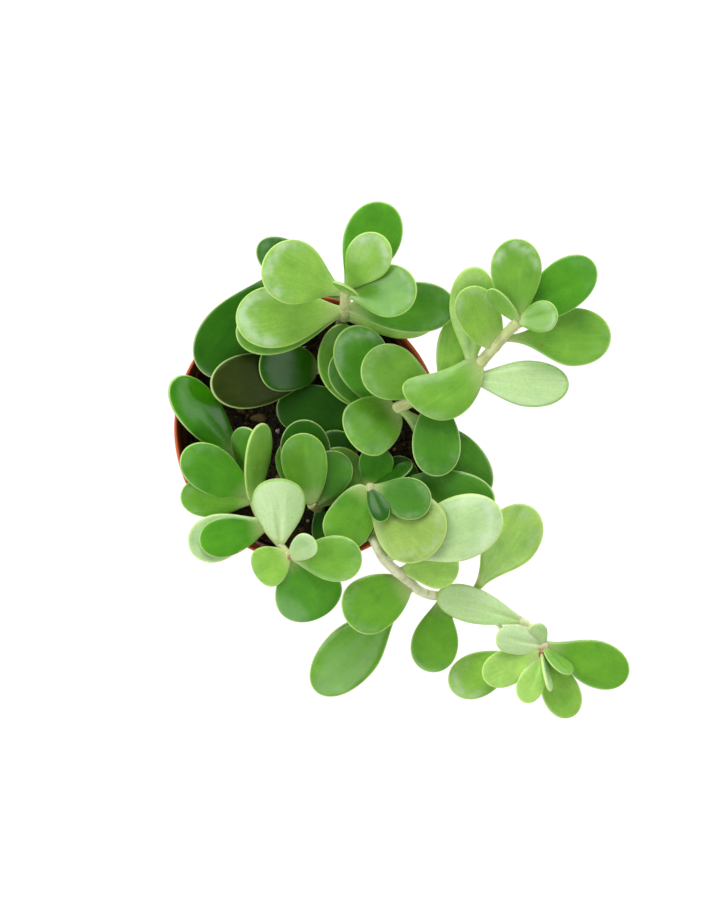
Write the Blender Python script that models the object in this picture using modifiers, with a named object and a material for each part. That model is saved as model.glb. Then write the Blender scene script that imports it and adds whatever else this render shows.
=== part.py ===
"""A potted trailing jade: a plastic nursery pot, its soil and seven leafy stems.

+X is the photo's right, +Y is the photo's top and +Z is up. The pot's flat base stands on z = 0 with its
centre at the origin. Sizes are written in millimetres and turned into metres by MM.
"""

import math

import bmesh
import bpy
from mathutils import Matrix, Vector

MM = 0.001
WELD_DISTANCE = 0.00001

# Pot
RIM_RADIUS = 60.0
RIM_HEIGHT = 105.0
COLLAR_DEPTH = 18.0
COLLAR_DRAFT = 1.0
COLLAR_STEP = 1.8
WALL = 1.3
BASE_RADIUS = 42.0
BASE_THICKNESS = 1.5
EDGE = 0.4
POT_STEPS = 48
COLLAR_SLOPE = 0.5
DRAIN_HOLES = 6
DRAIN_HOLE_RADIUS = 4.0
DRAIN_HOLE_CIRCLE = 28.0
DRAIN_HOLE_SIDES = 16
SHARP_ANGLE = 35.0

# Soil
SOIL_HEIGHT = 88.0
SOIL_EDGE = 2.0
SOIL_GAP = 0.3
SOIL_RINGS = 7
SOIL_STEPS = 48
# Waves of the uneven top: height, phase for each millimetre of X and of Y, phase at the origin
SOIL_WAVES = [(0.45, 0.11, 0.09, 0.8), (0.35, 0.15, -0.13, 2.1), (0.20, 0.20, 0.40, 0.3)]
HOLE_GAP = 0.3
HOLE_TOP = 96.0

# Leafy stems
STEM_SAMPLES = 3
STEM_ROUNDNESS = 2
LEAF_SIDES = 8
LEAF_RINGS = 8
PETIOLE_WIDTH = 3.2
PETIOLE_SHARE = 0.6
LEAF_THICKNESS_SHARE = 0.085
LEAF_THICKNESS_LEAST = 2.2
STALK_THICKNESS_SHARE = 0.85
WIDEST_AT = 0.64
ROUND_ROOT = 0.02
TIP_POWER = 2.2
EDGE_POWER = 0.7


def leaf(at, heading, rise, length, width, roll=0, cup=0.05, arch=0, neck=1.2, sweep=0):
    """One leaf. It grows from its stem at point number `at`, and fractions lie between two points.

    heading and rise are the directions of its midrib in degrees, and roll turns it about the midrib.
    cup lifts its sides, arch lifts its middle, sweep bends it sideways, all as shares of its size.
    A larger neck gives a longer, narrower stalk.
    """
    return dict(at=at, heading=heading, rise=rise, length=length, width=width, roll=roll,
                cup=cup, arch=arch, neck=neck, sweep=sweep)


# Each leafy stem is a list of branches: the points of the branch, its radius at the root and at the tip,
# and its leaves from one end of the rosette to the other.
STEMS = {
    "leafy_stem_top": [(
        [(14.5, 46.7, 72), (14.5, 46.7, 88), (16, 50, 104), (16.5, 52.5, 120), (17, 56, 134), (17, 59, 141)],
        3.0, 2.2,
        [
            leaf(4.6, 159, 20, 40, 28, cup=0.10, neck=1.9),
            leaf(4.0, 148, 4, 45, 19, cup=0.10, neck=1.4),
            leaf(2.9, 186, 4, 48.5, 28, cup=0.12, neck=1.4),
            leaf(2.65, 193, 3, 49.5, 24, cup=0.10, neck=1.4),
            leaf(4.2, 65, 12, 45, 25, cup=0.10, neck=1.7),
            leaf(4.8, 54, 35, 34, 20, cup=0.12, neck=1.9),
            leaf(4.5, 2, 28, 35, 23, cup=0.12, neck=1.5),
            leaf(4.9, 63, 86, 16, 13, neck=1.0),
            leaf(3.1, 0, 7, 49.5, 23, cup=0.15),
            leaf(2.1, 0, 7.5, 43, 21),
        ],
    ), (
        [(16, 50, 104), (6, 55, 108.5), (-6, 61.5, 110), (-16.5, 67.5, 110)],
        1.7, 1.5,
        [
            leaf(3.0, 236, -3.5, 53, 29, roll=9),
            leaf(2.9, 45, 25, 18, 12),
        ],
    )],
    "leafy_stem_right": [(
        [(30, 6, 72), (30, 6, 88), (35, 7, 99), (46, 12, 109), (58, 18, 115), (72, 25, 119),
         (81, 34, 125), (88, 42, 131), (92, 46, 137)],
        3.0, 2.4,
        [
            leaf(2.0, 114, 25, 46, 25, cup=0.12),
            leaf(1.9, 126, 18, 37, 24, cup=0.12),
            leaf(1.8, 119, 12, 46.5, 25, roll=-12, cup=0.15, neck=1.0, sweep=-0.11),
            leaf(2.5, 214, 25, 29, 27, neck=0.45),
            leaf(3.9, 271, 8, 39.5, 22),
            leaf(2.55, 316.5, 3, 56, 23, arch=0.045, neck=2.0, sweep=-0.02),
            leaf(3.9, 160, 15, 36, 25, cup=0.10),
            leaf(4.1, 71, 10, 34, 17, cup=0),
            leaf(5.5, 203, 5, 38, 22.5, cup=-0.1, neck=0.45, sweep=-0.2),
            leaf(4.7, 355, 6, 48, 21, roll=180, cup=0.15, neck=1.9, sweep=-0.01),
            leaf(6.2, 120, 25, 31.5, 19.5, cup=0.25, neck=0.6),
            leaf(5.0, 89, 23, 49, 21, neck=1.9),
            leaf(7.8, 92, 15, 37.5, 22.5, cup=0.10),
            leaf(7.4, 39, 5, 45, 22, cup=0.10),
            leaf(8.0, 10, 35, 20, 14, cup=0.10, neck=1.0),
            leaf(6.6, 1, 0, 48, 26, cup=0.10, neck=2.8),
            leaf(8.0, 134, 15, 20, 10, roll=50, cup=0.10, neck=1.0),
            leaf(1.5, 176, 1, 47, 24),
        ],
    )],
    "leafy_stem_back": [(
        [(4, 27, 72), (4, 27, 86), (4, 27, 92), (4, 27, 97)],
        2.4, 2.0,
        [
            leaf(2.8, 191, 25.5, 53, 25, cup=0.02, neck=1.0),
            leaf(3.0, 177, 30, 30, 23, neck=0.5),
        ],
    )],
    "leafy_stem_left": [(
        [(-32, -10, 72), (-32, -10, 88), (-30, -18, 95), (-26, -28, 99), (-23, -37, 104), (-18, -45, 108),
         (-12, -52, 112), (-7, -57, 117)],
        2.2, 1.7,
        [
            leaf(1.6, 128.5, 24, 51, 21, roll=-22),
            leaf(2.6, 86, 35, 30, 18, roll=30),
            leaf(3.5, 83, 33, 42, 16, roll=-48, neck=0.7),
            leaf(3.4, 144, 20, 40, 21.5, cup=0.12, neck=1.1),
            leaf(3.5, 175, 16, 34, 18, neck=1.3),
            leaf(4.9, 193, 10, 31, 18, neck=1.1),
            leaf(4.5, 201, 8, 35, 21.5, neck=1.3),
            leaf(6.0, 91, 30, 35, 24, roll=180, cup=0.10),
            leaf(6.8, 209, -3, 18, 19, neck=0.8),
            leaf(7.0, 40, 40, 18, 12, neck=0.8),
            leaf(6.9, 357, 6, 32.5, 21, cup=-0.05),
            leaf(6.7, 296, -15, 34, 31, cup=-0.05, neck=1.1),
        ],
    )],
    "leafy_stem_front": [(
        [(5, -36, 72), (5, -36, 88), (3.5, -35.5, 98), (1.5, -34, 107)],
        2.4, 2.0,
        [
            leaf(2.9, 99, 15, 34, 21, cup=0.10, neck=0.8),
            leaf(2.5, 98, 8, 40, 23, cup=0.12, neck=1.1),
            leaf(2.6, 61, 10, 28, 19, cup=0.08, neck=1.1),
            leaf(2.2, 54, 4, 31, 24, neck=1.1),
            leaf(2.0, 71, 1, 37, 22, neck=1.1),
            leaf(2.3, 111, 5, 33, 20, neck=1.1),
            leaf(1.5, 290, 4, 19, 14, neck=1.1),
        ],
    )],
    "leafy_stem_centre": [(
        [(27, -28, 72), (27, -28, 88), (28, -27, 104), (28, -26, 117)],
        2.7, 2.0,
        [
            leaf(2.3, 257, 10, 26, 12),
            leaf(2.55, 238, 7, 31, 22, neck=0.4),
            leaf(1.9, 77, 10, 20, 16, cup=0.15, neck=0.8),
            leaf(2.0, 30, 15, 23, 12, roll=60, neck=1.0),
            leaf(2.9, 344, 15, 29, 19, cup=0.10, neck=1.5),
            leaf(2.9, 292, 20, 17.5, 9.5, cup=0.10, neck=1.0),
            leaf(2.6, 316, 15.5, 42, 32, cup=0.03, neck=1.1),
            leaf(2.1, 354.5, 11.3, 57, 24, cup=0.12, neck=1.5),
            leaf(1.6, 22, 2, 24, 20, neck=1.0),
        ],
    )],
    "leafy_stem_trailing": [(
        [(24, -38, 72), (24, -38, 88), (27, -45, 103), (30.5, -51.5, 111), (35, -59, 111.5),
         (43.5, -67, 107), (51, -73.5, 101), (60, -76, 93), (75, -75.5, 86), (86.5, -84, 83), (99, -89, 82),
         (107, -97, 83), (107, -103, 86)],
        2.6, 2.0,
        [
            leaf(3.9, 23, 9.6, 57, 29, neck=1.9),
            leaf(5.3, 208, 12, 34, 26, neck=0.7),
            leaf(5.5, 228.5, -15, 69, 26.5, cup=0.02, neck=2.8),
            leaf(4.6, 8, -5, 28.5, 21, neck=1.9),
            leaf(8.0, 56.5, 15, 50, 26, neck=2.5),
            leaf(7.1, 260, -5, 36, 22, neck=1.4),
            leaf(9.9, 161, 20, 45, 17, roll=180, cup=0.10),
            leaf(11.3, 167, 35, 29, 14, roll=180, neck=0.45),
            leaf(11.4, 120, 30, 14, 11),
            leaf(12.0, 199, 15, 31, 17, neck=1.0),
            leaf(12.0, 246, 20, 25, 13),
            leaf(12.0, 279, 30, 19, 8, roll=65, neck=1.0),
            leaf(11.8, 294, -5, 34, 18),
            leaf(11.4, 314, 25, 19, 13, roll=55, neck=1.0),
            leaf(11.2, 339, 4, 42, 22, neck=1.7),
        ],
    ), (
        [(82, -81, 84), (86, -88, 80), (93, -98, 78), (98, -104, 79)],
        1.4, 1.2,
        [
            leaf(3.0, 204, 3, 37, 21),
        ],
    )],
}

LEAF_GREENS = {
    "leafy_stem_top": (0.20, 0.42, 0.07, 1.0),
    "leafy_stem_right": (0.13, 0.33, 0.06, 1.0),
    "leafy_stem_back": (0.03, 0.11, 0.02, 1.0),
    "leafy_stem_left": (0.13, 0.32, 0.05, 1.0),
    "leafy_stem_front": (0.08, 0.22, 0.06, 1.0),
    "leafy_stem_centre": (0.14, 0.28, 0.09, 1.0),
    "leafy_stem_trailing": (0.17, 0.36, 0.09, 1.0),
}
LEAF_ROUGHNESS = 0.40
SOIL_BROWN = (0.012, 0.008, 0.006, 1.0)
SOIL_ROUGHNESS = 0.95
TERRACOTTA = (0.56, 0.10, 0.03, 1.0)
POT_ROUGHNESS = 0.45


def clear_scene():
    """Remove every object of the starting scene."""
    for obj in list(bpy.data.objects):
        bpy.data.objects.remove(obj, do_unlink=True)


def new_collection(name, hidden=False):
    """A collection in the scene; a hidden one holds shapes that only cut or join others."""
    group = bpy.data.collections.new(name)
    bpy.context.scene.collection.children.link(group)
    group.hide_render = hidden
    return group


def new_object(name, data, group):
    """An object in a collection."""
    obj = bpy.data.objects.new(name, data)
    group.objects.link(obj)
    return obj


def new_material(name, colour, roughness):
    """A plain Principled material."""
    material = bpy.data.materials.new(name)
    material.use_nodes = True
    shader = material.node_tree.nodes["Principled BSDF"]
    shader.inputs["Base Color"].default_value = colour
    shader.inputs["Roughness"].default_value = roughness
    return material


def evaluated_mesh(obj):
    """The object's mesh with its modifiers applied."""
    bpy.context.view_layer.update()
    depsgraph = bpy.context.evaluated_depsgraph_get()
    return bpy.data.meshes.new_from_object(obj.evaluated_get(depsgraph))


def face_outward(mesh, merge=0.0):
    """Weld a mesh's loose ends where asked, and turn its faces outward."""
    work = bmesh.new()
    work.from_mesh(mesh)
    if merge:
        bmesh.ops.remove_doubles(work, verts=work.verts, dist=merge)
    bmesh.ops.recalc_face_normals(work, faces=work.faces)
    work.to_mesh(mesh)
    work.free()


def finish(obj, material, parent):
    """Give a finished solid its material, smooth shading and parent."""
    obj.data.name = obj.name
    obj.data.materials.clear()
    obj.data.materials.append(material)
    obj.data.shade_smooth()
    obj.data.set_sharp_from_angle(angle=math.radians(SHARP_ANGLE))
    obj.parent = parent


def combine(obj, group, operation):
    """Join or cut an object with everything in a collection, then remove the collection's objects."""
    modifier = obj.modifiers.new(operation.lower(), "BOOLEAN")
    modifier.operation = operation
    modifier.operand_type = "COLLECTION"
    modifier.collection = group
    modifier.solver = "EXACT"
    modifier.use_self = operation == "UNION"
    mesh = evaluated_mesh(obj)
    obj.modifiers.clear()
    obj.data = mesh
    for part in list(group.objects):
        bpy.data.objects.remove(part, do_unlink=True)
    bpy.data.collections.remove(group)


def turned_solid(name, profile, steps, group):
    """A solid made by turning a (radius, height) profile about Z."""
    mesh = bpy.data.meshes.new(name)
    points = [Vector((radius, 0.0, height)) * MM for radius, height in profile]
    mesh.from_pydata(points, [(i, i + 1) for i in range(len(points) - 1)], [])
    solid = new_object(name, mesh, group)
    turned = solid.modifiers.new("turned", "SCREW")
    turned.steps = steps
    turned.render_steps = steps
    turned.use_merge_vertices = True
    turned.merge_threshold = WELD_DISTANCE
    mesh = evaluated_mesh(solid)
    solid.modifiers.clear()
    solid.data = mesh
    face_outward(mesh)
    return solid


def curve_at(points, at):
    """The place at point number `at` on the smooth curve that runs through the points, in millimetres."""
    known = [Vector(point) for point in points]
    known = [2 * known[0] - known[1]] + known + [2 * known[-1] - known[-2]]
    first = min(int(at), len(points) - 2)
    before, start, end, after = known[first:first + 4]
    t = at - first
    straight = 2 * start + (end - before) * t
    bend = (2 * before - 5 * start + 4 * end - after) * t * t
    turn = (3 * start - before - 3 * end + after) * t ** 3
    return (straight + bend + turn) / 2


def sample_branch(points, root, tip):
    """Places along the smooth curve through a branch's points, and the branch's radius at each."""
    count = (len(points) - 1) * STEM_SAMPLES
    places = [curve_at(points, i / STEM_SAMPLES) for i in range(count + 1)]
    radii = [root + (tip - root) * i / count for i in range(count + 1)]
    return places, radii


def round_rod(name, places, radii, group):
    """A closed round rod along the places: a bevelled curve from its first place, turned into a mesh."""
    curve = bpy.data.curves.new(name + "_curve", "CURVE")
    curve.dimensions = "3D"
    curve.bevel_depth = MM
    curve.bevel_resolution = STEM_ROUNDNESS
    curve.use_fill_caps = True
    spline = curve.splines.new("POLY")
    spline.points.add(len(places) - 1)
    for point, place, radius in zip(spline.points, places, radii):
        point.co = (*((place - places[0]) * MM), 1.0)
        point.radius = radius
    rod = new_object(name + "_curve", curve, group)
    rod.location = places[0] * MM
    mesh = evaluated_mesh(rod)
    face_outward(mesh, merge=WELD_DISTANCE)
    solid = new_object(name, mesh, group)
    solid.matrix_world = rod.matrix_world
    bpy.data.objects.remove(rod, do_unlink=True)
    return solid


def leaf_pose(shape, base):
    """The leaf's place: X across the leaf, Y along its midrib, Z out of its upper face."""
    heading, rise, roll = (math.radians(shape[angle]) for angle in ("heading", "rise", "roll"))
    along = Vector((math.cos(rise) * math.cos(heading), math.cos(rise) * math.sin(heading), math.sin(rise)))
    level = Vector((math.sin(heading), -math.cos(heading), 0.0))
    across = math.cos(roll) * level + math.sin(roll) * level.cross(along)
    axes = Matrix((across, along, across.cross(along))).transposed()
    return Matrix.Translation(base * MM) @ axes.to_4x4()


def leaf_skin(shape, s, turn):
    """A point of the leaf's skin: s runs from stalk to tip, turn goes round the leaf.

    The half width swells from the stalk along a sine, is widest at WIDEST_AT, and closes in a blunt tip.
    """
    length, width = shape["length"], shape["width"]
    swell = math.sin(math.pi / 2 * min(s / WIDEST_AT, 1.0)) ** shape["neck"]
    stalk = min(PETIOLE_WIDTH / width, PETIOLE_SHARE)
    past = (max(s, WIDEST_AT) - WIDEST_AT) / (1 - WIDEST_AT)
    tip = math.sqrt(max(1 - past ** TIP_POWER, 0.0))
    root = math.sqrt(min(s / ROUND_ROOT, 1.0))
    half_width = width / 2 * (stalk + (1 - stalk) * swell) * tip * root
    thickness = max(LEAF_THICKNESS_LEAST, LEAF_THICKNESS_SHARE * length)
    thinner = STALK_THICKNESS_SHARE + (1 - STALK_THICKNESS_SHARE) * swell
    half_thickness = thickness / 2 * thinner * tip ** EDGE_POWER * root
    side = half_width * math.cos(turn)
    lift = shape["cup"] * 2 * side * side / width
    bow = length * 4 * s * (1 - s)
    out = half_thickness * math.sin(turn) + lift + shape["arch"] * bow
    return Vector((side + shape["sweep"] * bow, length * s, out))


def leaf_solid(name, shape, base, group):
    """One thick leaf: a sphere whose skin is moved onto the leaf's, set where it grows."""
    work = bmesh.new()
    bmesh.ops.create_uvsphere(work, u_segments=LEAF_SIDES, v_segments=LEAF_RINGS, radius=1.0)
    for vert in work.verts:
        s = min(max((1 + vert.co.z) / 2, 0.0), 1.0)
        vert.co = leaf_skin(shape, s, math.atan2(vert.co.y, vert.co.x)) * MM
    bmesh.ops.recalc_face_normals(work, faces=work.faces)
    mesh = bpy.data.meshes.new(name)
    work.to_mesh(mesh)
    work.free()
    solid = new_object(name, mesh, group)
    solid.matrix_world = leaf_pose(shape, base)
    return solid


def make_leafy_stem(name, branches, group):
    """One leafy stem: its branches as round rods, joined with all their leaves into one solid."""
    joined = new_collection(name + "_leaves", hidden=True)
    stem = None
    for number, (points, root, tip, leaves) in enumerate(branches):
        places, radii = sample_branch(points, root, tip)
        if stem is None:
            stem = round_rod(name, places, radii, group)
        else:
            round_rod(f"{name}_twig_{number}", places, radii, joined)
        for index, shape in enumerate(leaves):
            leaf_solid(f"{name}_leaf_{number}_{index}", shape, curve_at(points, shape["at"]), joined)
    combine(stem, joined, "UNION")
    return stem


def inner_wall(height):
    """Inner radius of the pot below its collar, at a height above the inner floor."""
    top = RIM_RADIUS - COLLAR_DRAFT - COLLAR_STEP - WALL
    share = (height - BASE_THICKNESS) / (RIM_HEIGHT - COLLAR_DEPTH - BASE_THICKNESS)
    return BASE_RADIUS - WALL + (top - BASE_RADIUS + WALL) * share


def pot_profile():
    """The pot's section as (radius, height): inner floor, inner wall, rim, outer side, base."""
    collar_foot = RIM_HEIGHT - COLLAR_DEPTH
    collar_radius = RIM_RADIUS - COLLAR_DRAFT
    inner_foot = collar_foot - COLLAR_SLOPE
    return [
        (0.0, BASE_THICKNESS),
        (inner_wall(BASE_THICKNESS), BASE_THICKNESS),
        (inner_wall(inner_foot), inner_foot),
        (collar_radius - WALL, collar_foot + COLLAR_SLOPE),
        (RIM_RADIUS - WALL, RIM_HEIGHT - EDGE),
        (RIM_RADIUS - WALL + EDGE, RIM_HEIGHT),
        (RIM_RADIUS - EDGE, RIM_HEIGHT),
        (RIM_RADIUS, RIM_HEIGHT - EDGE),
        (collar_radius, collar_foot + EDGE),
        (collar_radius - EDGE, collar_foot),
        (collar_radius - COLLAR_STEP, collar_foot - COLLAR_SLOPE),
        (BASE_RADIUS, 2 * EDGE),
        (BASE_RADIUS - 2 * EDGE, 0.0),
        (0.0, 0.0),
    ]


def make_pot(group):
    """The pot: its section turned about Z, with a ring of drain holes cut through the base."""
    pot = turned_solid("pot", pot_profile(), POT_STEPS, group)
    drills = new_collection("drain_hole_cutters", hidden=True)
    for index in range(DRAIN_HOLES):
        angle = 2 * math.pi * (index + 0.5) / DRAIN_HOLES
        work = bmesh.new()
        bmesh.ops.create_cone(work, cap_ends=True, segments=DRAIN_HOLE_SIDES, depth=4 * BASE_THICKNESS * MM,
                              radius1=DRAIN_HOLE_RADIUS * MM, radius2=DRAIN_HOLE_RADIUS * MM)
        mesh = bpy.data.meshes.new(f"drain_hole_{index}")
        work.to_mesh(mesh)
        work.free()
        drill = new_object(mesh.name, mesh, drills)
        drill.display_type = "WIRE"
        drill.location = Vector((math.cos(angle), math.sin(angle), 0)) * DRAIN_HOLE_CIRCLE * MM
    combine(pot, drills, "DIFFERENCE")
    return pot


def soil_relief(x, y):
    """Height of the soil's uneven top above SOIL_HEIGHT, as the sum of its waves."""
    return sum(height * math.sin(along_x * x + along_y * y + start)
               for height, along_x, along_y, start in SOIL_WAVES)


def make_soil(group):
    """The soil: a turned body that fills the pot with a small gap, an uneven top, a hole for each stem."""
    floor = BASE_THICKNESS + SOIL_GAP
    shoulder = SOIL_HEIGHT - SOIL_EDGE
    outer = inner_wall(shoulder) - SOIL_GAP
    profile = [(outer * ring / SOIL_RINGS, SOIL_HEIGHT) for ring in range(SOIL_RINGS + 1)]
    profile += [(outer, shoulder), (inner_wall(floor) - SOIL_GAP, floor), (0.0, floor)]
    soil = turned_solid("soil", profile, SOIL_STEPS, group)
    for vert in soil.data.vertices:
        if vert.co.z > (shoulder + SOIL_HEIGHT) / 2 * MM:
            vert.co.z += soil_relief(vert.co.x / MM, vert.co.y / MM) * MM
    cutters = new_collection("stem_hole_cutters", hidden=True)
    for name, branches in STEMS.items():
        places, radii = sample_branch(*branches[0][:3])
        below = [place for place in places if place.z < HOLE_TOP]
        below[0] = below[0] - Vector((0, 0, HOLE_GAP))
        cutter = round_rod(name + "_hole", below, [radius + HOLE_GAP for radius in radii], cutters)
        cutter.display_type = "WIRE"
    combine(soil, cutters, "DIFFERENCE")
    return soil


def main():
    """Build the pot, the soil and the seven leafy stems round an empty at the pot's base."""
    clear_scene()
    part = new_collection("potted_trailing_jade")
    base = new_object("pot_base", None, part)
    finish(make_pot(part), new_material("terracotta_plastic", TERRACOTTA, POT_ROUGHNESS), base)
    finish(make_soil(part), new_material("potting_soil", SOIL_BROWN, SOIL_ROUGHNESS), base)
    for name, branches in STEMS.items():
        material = new_material(name + "_green", LEAF_GREENS[name], LEAF_ROUGHNESS)
        finish(make_leafy_stem(name, branches, part), material, base)


main()
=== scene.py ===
"""Potted trailing jade: fine leaves, stems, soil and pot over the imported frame, on a plain pale stage.

Everything is in metres in the frame of the solids: +X is the photo's right, +Y its top and +Z is up, with the
centre of the pot's flat base at the origin. The plant is written in millimetres, and MM turns them to metres.
"""

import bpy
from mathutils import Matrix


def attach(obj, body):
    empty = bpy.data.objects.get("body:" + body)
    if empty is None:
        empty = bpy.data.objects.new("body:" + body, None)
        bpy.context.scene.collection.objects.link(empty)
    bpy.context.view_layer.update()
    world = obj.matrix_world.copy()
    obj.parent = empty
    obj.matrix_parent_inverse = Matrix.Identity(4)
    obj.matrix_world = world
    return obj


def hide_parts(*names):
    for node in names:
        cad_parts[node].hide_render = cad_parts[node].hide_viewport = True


bl_info = {
    "name": "Potted Trailing Jade",
    "version": (1, 0, 0),
    "blender": (4, 5, 0),
    "location": "View3D > Sidebar > Trailing Jade",
    "description": "Leafy stems, potting soil, nursery pot and studio stage for a potted trailing jade",
    "category": "Add Mesh",
}

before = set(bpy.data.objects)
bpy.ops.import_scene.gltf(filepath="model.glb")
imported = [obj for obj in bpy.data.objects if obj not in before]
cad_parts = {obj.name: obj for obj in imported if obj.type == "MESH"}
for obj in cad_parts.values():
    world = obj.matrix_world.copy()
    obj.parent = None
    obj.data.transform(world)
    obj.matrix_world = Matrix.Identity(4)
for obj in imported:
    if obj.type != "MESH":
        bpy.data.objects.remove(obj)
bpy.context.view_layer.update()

import bpy
import numpy as np
from bpy.props import FloatProperty, FloatVectorProperty, IntProperty, PointerProperty
from mathutils import Vector

MM = 0.001
WHITE = (1.0, 1.0, 1.0)
ROOT = "root"


def linear(hex_colour):
    """An sRGB hex colour as linear red, green and blue."""
    parts = [int(hex_colour[i:i + 2], 16) / 255 for i in (1, 3, 5)]
    return tuple(c / 12.92 if c <= 0.04045 else ((c + 0.055) / 1.055) ** 2.4 for c in parts)


# Greens of the leaves as they look in the light that reaches each, from the shaded old leaves to the youngest
# ones. Besides their own green, the darkest hold painted shade of the leaves above them
SHADES = {
    "old": "#34411a",
    "dark": "#376b22",
    "deep": "#528a32",
    "grass": "#4c9228",
    "green": "#5ca034",
    "fresh": "#6ea83c",
    "light": "#7cb248",
    "faded": "#96b65b",
    "young": "#92c455",
    "lime": "#aad66c",
    "pale": "#b8d898",
}
# Browns of the small dry scars on leaves
SCARS = {
    "dot": "#4d4a26",
    "stain": "#8a8a3a",
    "tan": "#c9a65c",
    "red": "#9a5a3c",
}


def leaf(at, heading, rise, length, width, shade, roll=0, cup=0.05, arch=0, neck=1.2, sweep=0, bloom_and_sheen=0.3,
         scar=None):
    """One leaf. It grows from its stem at point number `at`, and fractions lie between two points.

    heading and rise are the directions of its midrib in degrees, and roll turns it about the midrib.
    cup lifts its sides, arch lifts its middle, sweep bends it sideways, all as shares of its size.
    A larger neck gives a longer, narrower stalk. The bloom share is how much powdery wax it carries, and how
    much painted sheen lies inside its tip. A scar is given by its shares of the length and of the half width,
    its radius in millimetres and its kind.
    """
    return dict(at=at, heading=heading, rise=rise, length=length, width=width, shade=shade, roll=roll,
                cup=cup, arch=arch, neck=neck, sweep=sweep, bloom_and_sheen=bloom_and_sheen, scar=scar)


def branch(points, root, tip, *leaves):
    """One branch: the points of its curve, its radius at the root and at the tip, and its leaves."""
    return points, root, tip, leaves


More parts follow.
